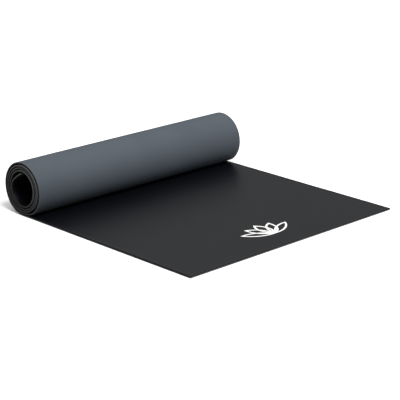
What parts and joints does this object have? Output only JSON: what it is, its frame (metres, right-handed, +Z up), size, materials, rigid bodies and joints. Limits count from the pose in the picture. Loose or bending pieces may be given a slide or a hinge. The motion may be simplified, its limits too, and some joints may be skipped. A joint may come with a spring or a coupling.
{
  "type": "yoga mat",
  "caption": "Half-rolled two-tone foam exercise mat: a flat run to lie on, a loose roll at one end and a printed flower.",
  "frame": {"origin": "on the floor, at the middle of the mat's bounding box", "axes": "+X from the roll to the free end of the flat run, +Y along the roll, +Z up"},
  "size_m": [0.582, 0.61, 0.1203],
  "materials": {
    "base_foam": "matte closed-cell foam, blue-grey",
    "scrim_yarn": "open polyester mesh",
    "top_foam": "satin textured foam, black",
    "white_ink": "flat white print"
  },
  "bodies": {
    "root": {"base_layer": "base_foam", "reinforcement_scrim": "scrim_yarn", "top_layer": "top_foam", "printed_mark": "white_ink"}
  },
  "joints": []
}
